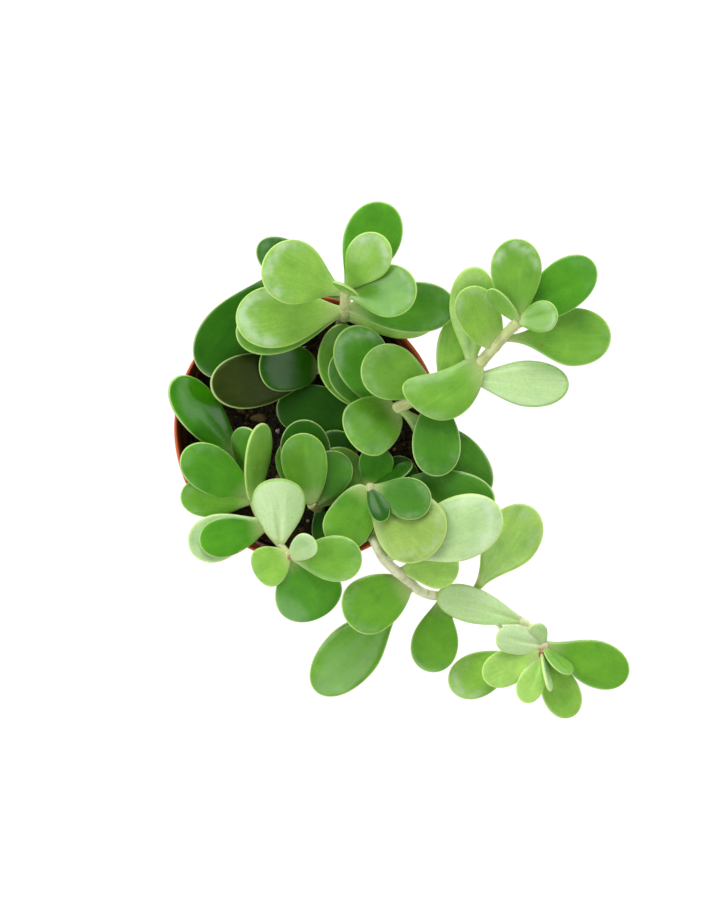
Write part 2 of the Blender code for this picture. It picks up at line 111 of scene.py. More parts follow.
# Each leafy stem is a list of branches
STEMS = {
    "leafy_stem_top": [branch(
        [(14.5, 46.7, 72), (14.5, 46.7, 88), (16, 50, 104), (16.5, 52.5, 120), (17, 56, 134), (17, 59, 141)],
        3.0, 2.2,
        leaf(4.6, 159, 20, 40, 28, "young", cup=0.1, neck=1.9, bloom_and_sheen=0.8),
        leaf(4.0, 148, 4, 45, 19, "dark", cup=0.1, neck=1.4),
        leaf(2.9, 186, 4, 48.5, 28, "young", cup=0.12, neck=1.4, bloom_and_sheen=1.0),
        leaf(2.65, 193, 3, 49.5, 24, "fresh", cup=0.1, neck=1.4),
        leaf(4.2, 65, 12, 45, 25, "green", cup=0.1, neck=1.7, bloom_and_sheen=0.1),
        leaf(4.8, 54, 35, 34, 20, "young", cup=0.12, neck=1.9, bloom_and_sheen=0.9, scar=(0.15, 0.3, 1.0, "dot")),
        leaf(4.5, 2, 28, 35, 23, "fresh", cup=0.12, neck=1.5, bloom_and_sheen=0.5),
        leaf(4.9, 63, 86, 16, 13, "light", neck=1.0),
        leaf(3.1, 0, 7, 49.5, 23, "deep", cup=0.15),
        leaf(2.1, 0, 7.5, 43, 21, "lime"),
    ), branch(
        [(16, 50, 104), (6, 55, 108.5), (-6, 61.5, 110), (-16.5, 67.5, 110)],
        1.7, 1.5,
        leaf(3.0, 236, -3.5, 53, 29, "dark", roll=9, bloom_and_sheen=0.0),
        leaf(2.9, 45, 25, 18, 12, "green"),
    )],
    "leafy_stem_right": [branch(
        [(30, 6, 72), (30, 6, 88), (35, 7, 99), (46, 12, 109), (58, 18, 115), (72, 25, 119),
         (81, 34, 125), (88, 42, 131), (92, 46, 137)],
        3.0, 2.4,
        leaf(2.0, 114, 25, 46, 25, "green", cup=0.12, bloom_and_sheen=0.6),
        leaf(1.9, 126, 18, 37, 24, "deep", cup=0.12),
        leaf(1.8, 119, 12, 46.5, 25, "fresh", roll=-12, cup=0.15, neck=1.0, sweep=-0.11),
        leaf(2.5, 214, 25, 29, 27, "fresh", neck=0.45, bloom_and_sheen=0.4),
        leaf(3.9, 271, 8, 39.5, 22, "deep"),
        leaf(2.55, 316.5, 3, 56, 23, "deep", arch=0.045, neck=2.0, sweep=-0.02, bloom_and_sheen=0.1),
        leaf(3.9, 160, 15, 36, 25, "light", cup=0.1, bloom_and_sheen=0.45),
        leaf(4.1, 71, 10, 34, 17, "young", cup=0, bloom_and_sheen=0.1),
        leaf(5.5, 203, 5, 38, 22.5, "light", cup=-0.1, neck=0.45, sweep=-0.2, bloom_and_sheen=0.4),
        leaf(4.7, 355, 6, 48, 21, "light", roll=180, cup=0.15, neck=1.9, sweep=-0.01),
        leaf(6.2, 120, 25, 31.5, 19.5, "young", cup=0.25, neck=0.6, bloom_and_sheen=0.5),
        leaf(5.0, 89, 23, 49, 21, "lime", neck=1.9),
        leaf(7.8, 92, 15, 37.5, 22.5, "light", cup=0.1, bloom_and_sheen=0.7),
        leaf(7.4, 39, 5, 45, 22, "green", cup=0.1, bloom_and_sheen=0.2),
        leaf(8.0, 10, 35, 20, 14, "light", cup=0.1, neck=1.0, bloom_and_sheen=0.6),
        leaf(6.6, 1, 0, 48, 26, "light", cup=0.1, neck=2.8, bloom_and_sheen=0.2, scar=(0.36, 0.25, 1.2, "stain")),
        leaf(8.0, 134, 15, 20, 10, "light", roll=50, cup=0.1, neck=1.0),
        leaf(1.5, 176, 1, 47, 24, "dark", bloom_and_sheen=0.0),
    )],
    "leafy_stem_back": [branch(
        [(4, 27, 72), (4, 27, 86), (4, 27, 92), (4, 27, 97)],
        2.4, 2.0,
        leaf(2.8, 191, 25.5, 53, 25, "old", cup=0.02, neck=1.0, bloom_and_sheen=0.0),
        leaf(3.0, 177, 30, 30, 23, "dark", neck=0.5, bloom_and_sheen=0.02),
    )],
    "leafy_stem_left": [branch(
        [(-32, -10, 72), (-32, -10, 88), (-30, -18, 95), (-26, -28, 99), (-23, -37, 104), (-18, -45, 108),
         (-12, -52, 112), (-7, -57, 117)],
        2.2, 1.7,
        leaf(1.6, 128.5, 24, 51, 21, "grass", roll=-22, bloom_and_sheen=0.0, scar=(0.56, -0.7, 1.1, "stain")),
        leaf(2.6, 86, 35, 30, 18, "deep", roll=30),
        leaf(3.5, 83, 33, 42, 16, "light", roll=-48, neck=0.7),
        leaf(3.4, 144, 20, 40, 21.5, "green", cup=0.12, neck=1.1),
        leaf(3.5, 175, 16, 34, 18, "fresh", neck=1.3),
        leaf(4.9, 193, 10, 31, 18, "green", neck=1.1, bloom_and_sheen=0.0, scar=(0.42, -1.0, 2.8, "tan")),
        leaf(4.5, 201, 8, 35, 21.5, "pale", neck=1.3),
        leaf(6.0, 91, 30, 35, 24, "light", roll=180, cup=0.1),
        leaf(6.8, 209, -3, 18, 19, "young", neck=0.8),
        leaf(7.0, 40, 40, 18, 12, "pale", neck=0.8, bloom_and_sheen=0.8),
        leaf(6.9, 357, 6, 32.5, 21, "light", cup=-0.05),
        leaf(6.7, 296, -15, 34, 31, "green", cup=-0.05, neck=1.1, bloom_and_sheen=0.1),
    )],
    "leafy_stem_front": [branch(
        [(5, -36, 72), (5, -36, 88), (3.5, -35.5, 98), (1.5, -34, 107)],
        2.4, 2.0,
        leaf(2.9, 99, 15, 34, 21, "fresh", cup=0.1, neck=0.8),
        leaf(2.5, 98, 8, 40, 23, "dark", cup=0.12, neck=1.1, bloom_and_sheen=0.02),
        leaf(2.6, 61, 10, 28, 19, "deep", cup=0.08, neck=1.1, bloom_and_sheen=0.2),
        leaf(2.2, 54, 4, 31, 24, "light", neck=1.1, bloom_and_sheen=0.1),
        leaf(2.0, 71, 1, 37, 22, "dark", neck=1.1, bloom_and_sheen=0.0),
        leaf(2.3, 111, 5, 33, 20, "green", neck=1.1, bloom_and_sheen=0.1),
        leaf(1.5, 290, 4, 19, 14, "dark", neck=1.1, bloom_and_sheen=0.0),
    )],
    "leafy_stem_centre": [branch(
        [(27, -28, 72), (27, -28, 88), (28, -27, 104), (28, -26, 117)],
        2.7, 2.0,
        leaf(2.3, 257, 10, 26, 12, "dark"),
        leaf(2.55, 238, 7, 31, 22, "fresh", neck=0.4, bloom_and_sheen=0.2),
        leaf(1.9, 77, 10, 20, 16, "grass", cup=0.15, neck=0.8, bloom_and_sheen=0.1),
        leaf(2.0, 30, 15, 23, 12, "dark", roll=60, neck=1.0),
        leaf(2.9, 344, 15, 29, 19, "deep", cup=0.1, neck=1.5, bloom_and_sheen=0.4),
        leaf(2.9, 292, 20, 17.5, 9.5, "dark", cup=0.1, neck=1.0, bloom_and_sheen=0.02),
        leaf(2.6, 316, 15.5, 42, 32, "faded", cup=0.03, neck=1.1, bloom_and_sheen=0.45),
        leaf(2.1, 354.5, 11.3, 57, 24, "deep", cup=0.12, neck=1.5, bloom_and_sheen=0.1),
        leaf(1.6, 22, 2, 24, 20, "dark", neck=1.0, bloom_and_sheen=0.0),
    )],
    "leafy_stem_trailing": [branch(
        [(24, -38, 72), (24, -38, 88), (27, -45, 103), (30.5, -51.5, 111), (35, -59, 111.5),
         (43.5, -67, 107), (51, -73.5, 101), (60, -76, 93), (75, -75.5, 86), (86.5, -84, 83), (99, -89, 82),
         (107, -97, 83), (107, -103, 86)],
        2.6, 2.0,
        leaf(3.9, 23, 9.6, 57, 29, "pale", neck=1.9, bloom_and_sheen=1.0),
        leaf(5.3, 208, 12, 34, 26, "fresh", neck=0.7, bloom_and_sheen=0.5),
        leaf(5.5, 228.5, -15, 69, 26.5, "fresh", cup=0.02, neck=2.8, bloom_and_sheen=0.2),
        leaf(4.6, 8, -5, 28.5, 21, "lime", neck=1.9),
        leaf(8.0, 56.5, 15, 50, 26, "lime", neck=2.5, bloom_and_sheen=0.5),
        leaf(7.1, 260, -5, 36, 22, "fresh", neck=1.4, bloom_and_sheen=0.1),
        leaf(9.9, 161, 20, 45, 17, "young", roll=180, cup=0.1),
        leaf(11.3, 167, 35, 29, 14, "pale", roll=180, neck=0.45),
        leaf(11.4, 120, 30, 14, 11, "pale"),
        leaf(12.0, 199, 15, 31, 17, "lime", neck=1.0, scar=(0.02, 0.0, 2.6, "red")),
        leaf(12.0, 246, 20, 25, 13, "lime"),
        leaf(12.0, 279, 30, 19, 8, "pale", roll=65, neck=1.0, scar=(0.02, 0.0, 2.2, "red")),
        leaf(11.8, 294, -5, 34, 18, "young", bloom_and_sheen=0.1),
        leaf(11.4, 314, 25, 19, 13, "light", roll=55, neck=1.0),
        leaf(11.2, 339, 4, 42, 22, "fresh", neck=1.7, bloom_and_sheen=0.1),
    ), branch(
        [(82, -81, 84), (86, -88, 80), (93, -98, 78), (98, -104, 79)],
        1.4, 1.2,
        leaf(3.0, 204, 3, 37, 21, "young", bloom_and_sheen=0.7),
    )],
}

# Seeds of the random draws
LEAF_SEED = 7
SOIL_SEED = 11

# The leaf's form, as in the solids
PETIOLE_WIDTH = 3.2
PETIOLE_SHARE = 0.6
LEAF_THICKNESS_SHARE = 0.085
LEAF_THICKNESS_LEAST = 2.2
STALK_THICKNESS_SHARE = 0.85
WIDEST_AT = 0.64
ROUND_ROOT = 0.02
TIP_POWER = 2.2
EDGE_POWER = 0.7
# The section of a real leaf is flatter than an ellipse and turns quickly at its margin
SECTION_WIDTH_POWER = 0.92
SECTION_HEIGHT_POWER = 0.72
# Finer form of the leaf: a groove over the midrib, a crease below its stalk end, and slow waves of the sides
GROOVE_DEPTH = 0.25
GROOVE_WIDTH = 1.3
CREASE_DEPTH = 1.4
CREASE_WIDTH = 0.8
SIDE_WAVE = 0.022
SIDE_WAVES_PER_LENGTH = 1.4
# The smooth leaf is this much shorter and narrower than the faceted solid, whose box it stays inside
SKIN_INSET = 0.45
# The thin pale margin, partly painted glow of light through the thin edge: the height on the leaf's edge
# where it lies, and its reach to each side
MARGIN_LEVEL = 0.12
MARGIN_REACH = (0.14, 0.36)
# Paleness of the undersides: of the leaves that show it in the photo, and of the others. It fades to the edge
UNDERSIDE_SEEN = 0.72
UNDERSIDE_HIDDEN = 0.40
UNDERSIDE_AT_EDGE = 0.15
UNDERSIDE_FADE = (0.05, 0.50)
# Share of a leaf's bloom that is thin wax on the whole leaf. The rest is a painted sheen in a crescent inside
# the tip, with soft edges
WAX_THIN = 0.10
CRESCENT_OUTSIDE = (0.20, 0.50)
CRESCENT_INSIDE = (0.66, 0.98)
CRESCENT_START = (0.5, 0.8)
# The fibres fan out from the stalk: their origin behind it, their stretch, and their shift from leaf to leaf
FAN_ORIGIN = 0.35
FAN_STRETCH = 0.06
FAN_SHIFT = 40.0
# Sheen of the leaves by where they grow, lower on leaves below others as painted shade, which shades grow
# below others, and the least colour of a leaf
SHEEN = {"open": 0.5, "shaded": 0.35, "lowest": 0.1}
GROWS_BELOW = {"dark": "shaded", "old": "lowest"}
DARKEST = 0.003

# Finer form of the stem: a swelling at each leaf and faint rings where leaves once grew
STEM_SIDES = 20
STEM_RINGS_PER_POINT = 16
STEM_INSET = 0.15
NODE_SWELLING = 0.25
NODE_REACH = 0.10
SCAR_RING = 0.03
SCAR_RINGS_PER_POINT = 2.3
SCAR_RING_REACH = 0.07
SCAR_RING_START = 0.2
# Its section is a little uneven, in flutes that turn along it, and fine lines run lengthwise
STEM_UNEVENNESS = 0.04
STEM_FLUTES = 3
STEM_TWIST = 2.1
STEM_LINES_ROUND = 3.0
STEM_LINES_ALONG = 0.12
# The first spoke of each branch is square to this direction
SPOKE_START = [1.0, 0.3, 0.0]
# How red the young ends of two stems are, and those of the others
RED_ENDS = {"leafy_stem_trailing": 1.0, "leafy_stem_left": 1.0}
FAINT_RED_END = 0.4

# The pot, as in the solids
RIM_RADIUS = 60.0
RIM_HEIGHT = 105.0
COLLAR_DEPTH = 18.0
COLLAR_DRAFT = 1.0
COLLAR_STEP = 1.8
COLLAR_SLOPE = 0.5
WALL = 1.3
BASE_RADIUS = 42.0
BASE_THICKNESS = 1.5
EDGE = 0.4
DRAIN_HOLES = 6
DRAIN_HOLE_RADIUS = 4.0
DRAIN_HOLE_CIRCLE = 28.0
DRAIN_HOLE_SIDES = 32
SHARP_ANGLE = 40.0
# Film of soil and painted shade on the inner wall, at the soil and the rim, and dust on the outside, at the
# foot and the rim
FILM_AND_SHADE = [0.85, 0.15]
FOOT_DUST = [1.0, 0.3]

# The soil, as in the solids
SOIL_HEIGHT = 88.0
SOIL_EDGE = 2.0
SOIL_GAP = 0.3
SOIL_WAVES = [(0.45, 0.11, 0.09, 0.8), (0.35, 0.15, -0.13, 2.1), (0.20, 0.20, 0.40, 0.3)]
# Finer form of its top: coarse and fine lumps as wavelength and share of the relief
SOIL_LUMPS = [(5.0, 0.7), (1.8, 0.6)]
LUMP_WAVES = 24
LUMP_LENGTHS = (0.7, 1.5)
SOIL_LUMP_LIMITS = (-1.2, 0.9)
SOIL_RINGS = 110
SOIL_SIDES = 300
# Loose crumbs: their faces, their largest radius, the spread of their sizes, and how far they stand out
CRUMB_RINGS = 4
CRUMB_SIDES = 7
CRUMB_LARGEST = 2.0
CRUMB_SPREAD = 0.35
CRUMB_LIFT = 0.1
CRUMB_DENTS = (0.18, 0.14)
CRUMB_STRETCH = ([0.7, 0.7, 0.5], [1.4, 1.2, 0.8])
CRUMB_BROWNS = ["#241c12", "#302717", "#40351c", "#19150e", "#544826"]
# Every 60th crumb is bark and every 83rd perlite, each with its share of the usual size and its colour
RARE_CRUMBS = {60: (1.5, "#8a7440"), 83: (0.7, "#d8d4c8")}
# The tan stones and the white grain that lie open between the leaves: X, Y, radius and colour
STONES = [(-31.0, 8.7, 2.0, "#85713a"), (-23.2, 5.0, 3.2, "#7c6c3c"), (-14.1, -0.9, 1.1, "#dcdccb")]
STONE_FINENESS = 2

# The photo's view: straight down from this far above the rim, with this much seen by each pixel at the rim
PHOTO_WIDTH = 720
PHOTO_HEIGHT = 900
PIXEL_AT_RIM = 0.4484
CAMERA_ABOVE_RIM = 900.0
CAMERA_X = 23.4
CAMERA_Y = -9.6
SENSOR = 36.0

# The stage, in metres: its floor, and the soft lights round the camera with their shares of the power
FLOOR_HALF = 6.0
FLOOR_DROP = 0.0002
LIGHT_AIM = (0.02, -0.01, 0.10)
LIGHTS = {
    "back_light": (0.38, (0.0, 1.15, 0.95)),
    "left_light": (0.25, (-1.15, 0.15, 0.90)),
    "right_light": (0.17, (1.30, 0.25, 0.65)),
    "front_light": (0.20, (-0.35, -1.10, 0.90)),
}


class Finish:
    """A node material, with its Principled shader and the ways to add to it."""

    def __init__(self, name, **sockets):
        self.material = bpy.data.materials.new(name)
        self.material.use_nodes = True
        self.tree = self.material.node_tree
        self.shade(**sockets)

    def fill(self, socket, value):
        """Link another node's output to a socket, or set its value. A colour gets its alpha here."""
        if isinstance(value, bpy.types.NodeSocket):
            self.tree.links.new(value, socket)
        elif socket.type == "RGBA":
            socket.default_value = (*value, 1.0)
        else:
            socket.default_value = value

    def shade(self, **sockets):
        """Fill sockets of the Principled shader."""
        for name, value in sockets.items():
            self.fill(self.tree.nodes["Principled BSDF"].inputs[name.replace("_", " ")], value)

    def add(self, kind, sockets=None, **settings):
        """Add a shader node with its settings, fill its sockets, and give its outputs."""
        node = self.tree.nodes.new("ShaderNode" + kind)
        for name, value in settings.items():
            setattr(node, name, value)
        for socket, value in (sockets or {}).items():
            self.fill(node.inputs[socket], value)
        return node.outputs

    def coat(self, below, colour, mask, low, high, strength=1.0, blend="MIX"):
        """Lay a colour over another where a mask goes smoothly from low to high, up to a strength."""
        share = self.add("MapRange", {"Value": mask, "From Min": low, "From Max": high, "To Max": strength},
                         interpolation_type="SMOOTHSTEP")[0]
        return self.add("Mix", {0: share, 6: below, 7: colour}, data_type="RGBA", blend_type=blend)[2]


def succulent_leaf(look, grows, sheen):
    """Living succulent leaf: smooth waxy skin over wet green flesh, with the sheen of where it grows.

    Broad soft sheen, lower on leaves in the shade of others as painted shade, a powdery bloom with a
    painted sheen in a crescent inside the tip, light that passes through the flesh, and a thin pale margin
    where there is no green below the skin, partly painted glow of light through the thin edge.
    """
    leaf_finish = Finish(
        "succulent_leaf_waxy_skin_" + grows, IOR=1.42, Subsurface_Weight=look.flesh_glow,
        Subsurface_Radius=(0.45, 1.0, 0.15), Subsurface_Scale=2.0 * MM, Specular_IOR_Level=sheen,
        Coat_Weight=0.4 * sheen, Coat_Roughness=0.16)
    add, coat = leaf_finish.add, leaf_finish.coat
    place = add("TexCoord")["Object"]
    shade, marks, scar = (
        add("Attribute", attribute_name=mark) for mark in ("leaf_shade", "leaf_marks", "leaf_scar"))
    under = add("Attribute", attribute_name="leaf_under")["Fac"]
    lengthwise = add("Attribute", attribute_name="leaf_fibre")["Vector"]
    margin, core, along = add("SeparateColor", {0: marks["Color"]}).values()
    seed = add("Math", {0: marks["Alpha"], 1: 20.0}, operation="MULTIPLY")[0]
    # Patterns 9, 1 and 5 mm long: slow changes of green, the mottle of the flesh, and patches of wax
    # and of painted sheen
    slow, fine, patch = (
        add("TexNoise", {"Vector": place, "W": seed, "Scale": 1 / (size * MM), "Detail": detail},
            noise_dimensions="4D")[0]
        for size, detail in ((9.0, 2.0), (1.0, 3.0), (5.0, 6.0)))

    # Greens that change slowly over a centimetre, and grow lighter and yellower towards the margin
    colour = coat(shade["Color"], (1.24, 1.16, 1.15), slow, 0.48, 0.75, blend="MULTIPLY")
    colour = coat(colour, (0.68, 0.80, 0.7), slow, 0.50, 0.22, blend="MULTIPLY")
    colour = coat(colour, (1.45, 1.22, 1.2), core, 0.55, 0.10, blend="MULTIPLY")
    # Paler underside, and the stalk that fades to cream, reaching less far on leaves in the shade as painted
    # shade
    colour = coat(colour, look.under_colour, under, 0.0, 1.0)
    colour = coat(colour, look.stalk_colour, along, sheen - 0.18, sheen - 0.48, look.stalk_fade)
    # Fibres about 1 mm apart that run out along the blade, and the mottle
    fibre = add("TexNoise", {"Vector": lengthwise, "Scale": 1.0})[0]
    colour = coat(colour, (1.12, 1.08, 1.14), fibre, 0.45, 0.75, blend="MULTIPLY")
    colour = coat(colour, (0.86, 0.92, 0.86), fine, 0.40, 0.75, blend="MULTIPLY")
    # Powdery wax, uneven and rubbed off in places, and a painted sheen in a crescent inside the tip
    patch = add("MapRange", {"Value": patch, "From Min": 0.38, "From Max": 0.62, "To Min": 0.3})[0]
    wax_and_sheen = add("Math", {0: shade["Alpha"], 1: patch}, operation="MULTIPLY")[0]
    colour = coat(colour, look.bloom_and_sheen_colour, wax_and_sheen, 0.0, 1.0, look.bloom_and_sheen_strength)
    # The pale margin, partly painted glow of light through the thin edge, and dry scars with an uneven edge
    colour = coat(colour, look.margin_colour, margin, 0.0, 1.0, look.margin_strength)
    edge = add("Math", {0: fine, 1: 0.4, 2: scar["Alpha"]}, operation="MULTIPLY_ADD")[0]
    colour = coat(colour, scar["Color"], edge, 0.35, 0.65, 0.9)
    roughness = add("MapRange", {"Value": wax_and_sheen, "To Min": 0.27, "To Max": 0.55})[0]
    relief = add("Math", {0: fine, 1: 0.2, 2: slow}, operation="MULTIPLY_ADD")[0]
    bump = add("Bump", {"Height": relief, "Strength": 0.22, "Distance": 0.25 * MM})[0]
    leaf_finish.shade(Base_Color=colour, Roughness=roughness, Normal=bump)
    return leaf_finish.material


def succulent_stem():
    """Living succulent stem: matt pale olive skin with lengthwise lines, reddish at its young end."""
    stem_finish = Finish(
        "succulent_stem_olive_skin", Roughness=0.55, Subsurface_Weight=0.2, Subsurface_Radius=(0.8, 1.0, 0.4),
        Subsurface_Scale=1.0 * MM)
    add, coat = stem_finish.add, stem_finish.coat
    place = add("TexCoord")["Object"]
    marks = add("Attribute", attribute_name="leaf_marks")["Color"]
    ring, _, along = add("SeparateColor", {0: marks}).values()
    lengthwise = add("Attribute", attribute_name="leaf_fibre")["Vector"]
    # Lines along the stem, about 1 mm apart, and patches of 7 mm
    line = add("TexNoise", {"Vector": lengthwise, "Scale": 1.0, "Detail": 3.0})[0]
    slow = add("TexNoise", {"Vector": place, "Scale": 1 / (7.0 * MM), "Detail": 3.0})[0]
    skin = add("Attribute", attribute_name="leaf_shade")
    colour = coat(skin["Color"], linear("#a3ab66"), slow, 0.42, 0.68, 0.7)
    colour = coat(colour, linear("#e2e4bc"), line, 0.42, 0.70, 0.6)
    # The rings of leaf scars, and the red young end
    colour = coat(colour, linear("#9a8560"), ring, 0.3, 0.9, 0.22)
    young = add("MapRange", {"Value": along, "From Min": 0.82, "From Max": 1.0, "To Min": -0.3})[0]
    red = add("Math", {0: young, 1: slow}, operation="MULTIPLY")[0]
    red = add("Math", {0: red, 1: skin["Alpha"]}, operation="MULTIPLY")[0]
    colour = coat(colour, linear("#a4553c"), red, 0.2, 0.5, 0.75)
    bump = add("Bump", {"Height": line, "Strength": 0.5, "Distance": 0.3 * MM})[0]
    stem_finish.shade(Base_Color=colour, Normal=bump)
    return stem_finish.material


def potting_soil():
    """Moist potting mix: dark crumbs of peat and bark with grit, matt, each crumb its own brown."""
    soil_finish = Finish("potting_soil_moist_peat", Roughness=0.85, Specular_IOR_Level=0.3)
    add, coat = soil_finish.add, soil_finish.coat
    place = add("TexCoord")["Object"]
    grain = add("Attribute", attribute_name="grain_colour")["Color"]
    # Grit of 0.8 mm, and damp patches of 6 mm
    fine = add("TexNoise", {"Vector": place, "Scale": 1 / (0.8 * MM), "Detail": 4.0, "Roughness": 0.7})[0]
    slow = add("TexNoise", {"Vector": place, "Scale": 1 / (6.0 * MM), "Detail": 3.0})[0]
    colour = coat(grain, linear("#15120b"), slow, 0.40, 0.70, 0.4)
    colour = coat(colour, linear("#6a5a34"), fine, 0.45, 0.75, 0.6)
    bump = add("Bump", {"Height": fine, "Strength": 0.8, "Distance": 0.6 * MM})[0]
    soil_finish.shade(Base_Color=colour, Normal=bump)
    return soil_finish.material


def nursery_plastic(look):
    """Injection-moulded polypropylene, terracotta-coloured: satin, slightly translucent, scuffed and dusty.

    The inner wall carries a film of soil and painted shade, which thicken down to the soil's edge.
    """
    pot_finish = Finish(
        "moulded_polypropylene_terracotta", IOR=1.49, Subsurface_Weight=0.08,
        Subsurface_Radius=(1.0, 0.35, 0.2), Subsurface_Scale=0.6 * MM)
    add, coat = pot_finish.add, pot_finish.coat
    place = add("TexCoord")["Object"]
    film = add("Attribute", attribute_name="soil_film")["Fac"]
    dusty = add("Attribute", attribute_name="foot_dust")["Fac"]
    # Tones that change over 16 mm. Grain and dust are finer than 0.7 mm, and are drawn that coarse to show
    slow = add("TexNoise", {"Vector": place, "Scale": 1 / (16.0 * MM), "Detail": 3.0})[0]
    fine = add("TexNoise", {"Vector": place, "Scale": 1 / (0.7 * MM), "Detail": 3.0, "Roughness": 0.65})[0]
    colour = coat(look.pot_colour, linear("#e8784c"), slow, 0.35, 0.70, 0.25)
    # The film of soil and painted shade inside, and the dust at the foot
    grains = add("MapRange", {"Value": fine, "From Min": 0.3, "From Max": 0.55, "To Min": 0.6})[0]
    film = add("Math", {0: film, 1: grains}, operation="MULTIPLY")[0]
    colour = coat(colour, linear("#4c3018"), film, 0.0, 1.0)
    dust = add("Math", {0: dusty, 1: fine}, operation="MULTIPLY")[0]
    colour = coat(colour, linear("#c9a58a"), dust, 0.40, 0.65, 0.25)
    roughness = add("MapRange", {"Value": fine, "To Min": 0.25, "To Max": 0.60})[0]
    bump = add("Bump", {"Height": fine, "Strength": 0.15, "Distance": 0.1 * MM})[0]
    pot_finish.shade(Base_Color=colour, Roughness=roughness, Normal=bump)
    return pot_finish.material


def branch_at(points, at):
    """Places at point numbers `at` on the smooth curve through the points: a Catmull-Rom spline in mm."""
    known = np.array(points, float)
    known = np.vstack([2 * known[0] - known[1], known, 2 * known[-1] - known[-2]])
    at = np.atleast_1d(np.asarray(at, float))
    first = np.minimum(at.astype(int), len(points) - 2)
    before, start, end, after = (known[first + i] for i in range(4))
    t = (at - first)[:, None]
    straight = 2 * start + (end - before) * t
    bend = (2 * before - 5 * start + 4 * end - after) * t ** 2
    turn = (3 * start - before - 3 * end + after) * t ** 3
    return (straight + bend + turn) / 2


def smooth_rise(values, low, high):
    """0 up to low and 1 from high on, with a smooth cubic rise between them."""
    share = np.clip((values - low) / (high - low), 0, 1)
    return share ** 2 * (3 - 2 * share)


def rings_to_faces(rings, sides):
    """Arrays of the quads between closed rings of vertices, and of the triangles that close both ends.

    The vertices are ring by ring, and then the first and the last end.
    """
    ring, side = np.meshgrid(np.arange(rings - 1), np.arange(sides), indexing="ij")
    beside = (side + 1) % sides
    quads = np.stack([ring * sides + side, ring * sides + beside, (ring + 1) * sides + beside,
                      (ring + 1) * sides + side], -1).reshape(-1, 4)
    side = np.arange(sides)
    beside = (side + 1) % sides
    first = np.stack([np.full(sides, rings * sides), beside, side], -1)
    top = (rings - 1) * sides
    last = np.stack([np.full(sides, rings * sides + 1), top + side, top + beside], -1)
    return quads, np.vstack([first, last])


def put_object(name, data):
    """A new object with this data, in the scene."""
    made = bpy.data.objects.new(name, data)
    bpy.context.scene.collection.objects.link(made)
    return made


class Shell:
    """Vertices, faces and marks of one piece, gathered shell by shell."""

    def __init__(self):
        self.points = []
        self.faces = []
        self.materials = []
        self.marks = {}
        self.count = 0

    def put(self, points, rings, material="main", **marks):
        """Add a closed shell of rings and two ends, in mm. A mark is an array with a row for each vertex."""
        for faces in rings_to_faces(rings, (len(points) - 2) // rings):
            self.faces += (faces + self.count).tolist()
            self.materials += [material] * len(faces)
        self.points.append(points * MM)
        for name, values in marks.items():
            self.marks.setdefault(name, []).append(values)
        self.count += len(points)

    def mesh(self, name):
        """The smooth mesh of all shells, with their marks as point attributes."""
        mesh = bpy.data.meshes.new(name)
        mesh.from_pydata(np.vstack(self.points).tolist(), [], self.faces)
        kinds = {1: ("FLOAT", "value"), 3: ("FLOAT_VECTOR", "vector"), 4: ("FLOAT_COLOR", "color")}
        for mark, arrays in self.marks.items():
            values = np.concatenate(arrays).astype(np.float32)
            kind, field = kinds[1 if values.ndim == 1 else values.shape[1]]
            mesh.attributes.new(mark, kind, "POINT").data.foreach_set(field, values.ravel())
        mesh.shade_smooth()
        return mesh

    def piece(self, name, materials, slot, replaced=None):
        """The finished object, which rides on the root body and carries the materials that its faces use."""
        mesh = self.mesh(name)
        used, numbers = np.unique(self.materials, return_inverse=True)
        for kind in used:
            mesh.materials.append(materials[kind])
        mesh.polygons.foreach_set("material_index", numbers.astype(np.int32))
        piece = put_object(name, mesh)
        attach(piece, ROOT)
        if replaced:
            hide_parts(replaced)
        return piece


def leaf_axes(shape):
    """Unit directions of a leaf: across it, along its midrib, and out of its upper face."""
    heading, rise, roll = (np.radians(shape[angle]) for angle in ("heading", "rise", "roll"))
    along = np.array([np.cos(rise) * np.cos(heading), np.cos(rise) * np.sin(heading), np.sin(rise)])
    level = np.array([np.sin(heading), -np.cos(heading), 0.0])
    across = np.cos(roll) * level + np.sin(roll) * np.cross(level, along)
    return np.stack([across, along, np.cross(across, along)])


def tip_width(s):
    """Share of the width at a place: 1 up to the widest part, and from there a blunt curve down to 0."""
    past = (np.maximum(s, WIDEST_AT) - WIDEST_AT) / (1 - WIDEST_AT)
    return np.sqrt(np.maximum(1 - past ** TIP_POWER, 0.0))


